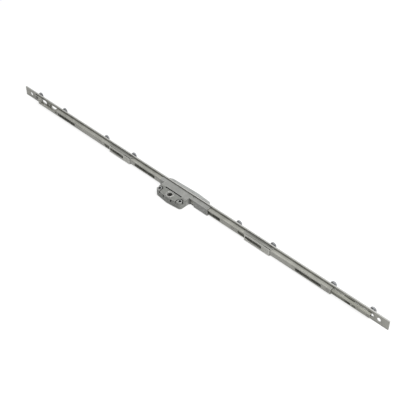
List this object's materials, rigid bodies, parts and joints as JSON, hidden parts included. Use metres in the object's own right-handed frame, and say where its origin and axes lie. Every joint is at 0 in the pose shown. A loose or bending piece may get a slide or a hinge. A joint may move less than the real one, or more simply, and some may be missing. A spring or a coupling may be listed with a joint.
{
  "type": "window espagnolette gearbox",
  "caption": "Slotted faceplate with nested drive bars, mushroom cams and a slim gear case whose square follower slides the bars in opposite directions.",
  "frame": {"origin": "middle of the faceplate's lower long edge, level with the spindle's centre along the bar", "axes": "+X along the faceplate, +Y out of its front, the cam side, +Z along the spindle's axis, across the faceplate"},
  "size_m": [0.76, 0.039, 0.016],
  "materials": {
    "faceplate_steel": "zinc-plated steel strip, satin",
    "outer_bar_steel": "zinc-plated pressed steel, satin",
    "inner_bar_steel": "zinc-plated pressed steel, faint yellow tint",
    "case_zinc": "plated zinc die casting, satin",
    "guard_zinc": "plated zinc die casting, satin",
    "gear_steel": "plated sintered steel",
    "cam_steel": "bright zinc-plated turned steel",
    "rivet_steel": "plain bright steel"
  },
  "bodies": {
    "root": {"faceplate": "faceplate_steel", "front_guard": "guard_zinc", "guard_rivet_left": "rivet_steel", "guard_rivet_right": "rivet_steel", "pinion_pin": "rivet_steel", "gear_case_lower": "case_zinc", "gear_case_upper": "case_zinc", "case_bush_left": "rivet_steel", "case_bush_right": "rivet_steel", "guide_saddle_left": "outer_bar_steel", "guide_saddle_right": "outer_bar_steel"},
    "outer_bar": {"outer_drive_bar": "outer_bar_steel", "drive_rack": "gear_steel", "outer_reversing_rack": "gear_steel", "outer_bar_cam_1": "cam_steel", "outer_bar_cam_2": "cam_steel", "outer_bar_cam_3": "cam_steel", "outer_bar_cam_4": "cam_steel"},
    "inner_bar": {"inner_drive_bar": "inner_bar_steel", "inner_reversing_rack": "gear_steel", "inner_bar_cam_1": "cam_steel", "inner_bar_cam_2": "cam_steel", "inner_bar_cam_3": "cam_steel", "inner_bar_cam_4": "cam_steel"},
    "follower_body": {"follower": "gear_steel"},
    "pinion_body": {"reversing_pinion": "gear_steel"}
  },
  "joints": [
    {"name": "outer_bar_slide", "type": "slide", "parent": "root", "child": "outer_bar", "axis": [1, 0, 0], "range_m": [0, 0.01767]},
    {"name": "inner_bar_slide", "type": "slide", "parent": "root", "child": "inner_bar", "axis": [-1, 0, 0], "range_m": [0, 0.01767]},
    {"name": "follower_turn", "type": "hinge", "parent": "root", "child": "follower_body", "pos_m": [0, -0.023, 0.008], "axis": [0, 0, -1], "range_deg": [0, 90]},
    {"name": "pinion_spin", "type": "hinge", "parent": "root", "child": "pinion_body", "pos_m": [0.018, 0.0023, 0.008], "axis": [0, 1, 0], "range_deg": [0, 253.2]}
  ],
  "couplings": [
    {"joint": "inner_bar_slide", "follows": "outer_bar_slide", "ratio": 1},
    {"joint": "follower_turn", "follows": "outer_bar_slide", "rad_per_m": 88.889},
    {"joint": "pinion_spin", "follows": "outer_bar_slide", "rad_per_m": 250}
  ]
}
